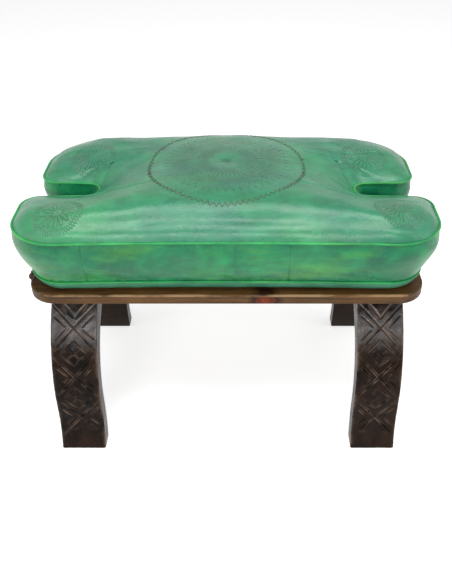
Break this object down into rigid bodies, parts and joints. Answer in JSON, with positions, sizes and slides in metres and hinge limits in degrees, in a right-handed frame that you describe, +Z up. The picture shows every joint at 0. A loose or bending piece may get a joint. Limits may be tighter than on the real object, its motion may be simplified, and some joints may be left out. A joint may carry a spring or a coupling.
{
  "type": "camel saddle stool",
  "caption": "Low wooden stool on carved arched legs, with a loose stuffed leather cushion notched at both ends to fit over the frame's pommels.",
  "frame": {"origin": "on the floor, under the middle of the seat", "axes": "+Z up, +X along the seat's length, -Y towards the front"},
  "size_m": [0.5948, 0.3344, 0.42],
  "materials": {
    "carved_wood": "dark stain under a satin polish, worn on the carving's edges",
    "board_wood": "mid brown stain, satin, worn along the edges",
    "peg_wood": "dark stain",
    "screw_steel": "zinc plated",
    "green_leather": "hand dyed and polished, mottled",
    "piping_leather": "dyed and polished",
    "stuffing_fibre": "loose cotton fibre",
    "thong_leather": "dark brown, waxed"
  },
  "bodies": {
    "frame": {"leg_front_left": "carved_wood", "leg_front_right": "carved_wood", "leg_rear_left": "carved_wood", "leg_rear_right": "carved_wood", "side_board_front": "board_wood", "side_board_rear": "board_wood", "crest_pegs": "peg_wood", "board_screws": "screw_steel"},
    "cushion": {"top_panel": "green_leather", "bottom_panel": "green_leather", "boxing_front": "green_leather", "boxing_rear": "green_leather", "boxing_left": "green_leather", "boxing_right": "green_leather", "upper_piping": "piping_leather", "lower_piping": "piping_leather", "stuffing": "stuffing_fibre", "thong_knot": "thong_leather"}
  },
  "joints": [
    {"name": "cushion_lift", "type": "slide", "parent": "frame", "child": "cushion", "axis": [0, 0, 1], "range_m": [0, 0.08]}
  ]
}
